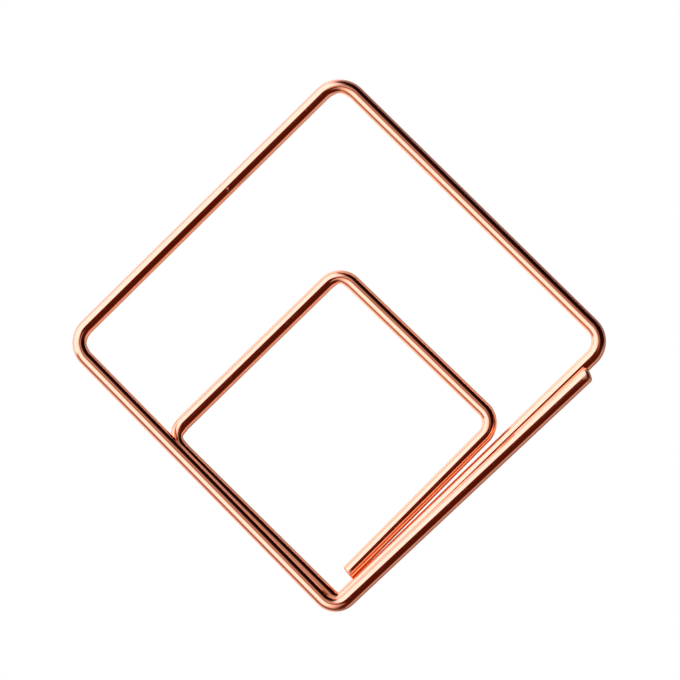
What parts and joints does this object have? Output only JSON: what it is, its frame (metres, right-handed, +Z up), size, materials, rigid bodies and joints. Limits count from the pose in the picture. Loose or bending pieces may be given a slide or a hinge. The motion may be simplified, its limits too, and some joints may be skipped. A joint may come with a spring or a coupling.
{
  "type": "paper clip",
  "caption": "Flat square-spiral paper clip bent from round wire: a small inner loop and a larger outer loop share a leg and spring apart to grip sheets of paper.",
  "frame": {"origin": "middle of the clip's outline in plan, on the table that it lies on", "axes": "+X along the spine leg towards the outer loop's front right bend, +Y across the clip towards the outer loop's back leg, +Z up, out of the face where the outer loop lies over the inner loop"},
  "size_m": [0.0268, 0.0268, 0.0028],
  "materials": {
    "rose_gold_wire": "polished"
  },
  "bodies": {
    "inner_loop": {"inner_end_leg": "rose_gold_wire", "inner_front_right_bend": "rose_gold_wire", "inner_right_leg": "rose_gold_wire", "inner_back_right_bend": "rose_gold_wire", "inner_back_leg": "rose_gold_wire", "inner_back_left_bend": "rose_gold_wire", "inner_left_leg": "rose_gold_wire", "inner_front_left_bend": "rose_gold_wire", "spine_leg": "rose_gold_wire"},
    "outer_loop": {"outer_front_right_bend": "rose_gold_wire", "outer_right_leg": "rose_gold_wire", "outer_back_right_bend": "rose_gold_wire", "outer_back_leg": "rose_gold_wire", "outer_back_left_bend": "rose_gold_wire", "outer_left_leg": "rose_gold_wire", "outer_front_left_bend": "rose_gold_wire", "outer_end_leg": "rose_gold_wire"}
  },
  "joints": [
    {"name": "loop_opening", "type": "hinge", "parent": "inner_loop", "child": "outer_loop", "pos_m": [0, -0.01225, 0.00069], "axis": [0.9999, 0, -0.0143], "range_deg": [0, 10], "stiffness_Nm_per_rad": 0.35}
  ]
}
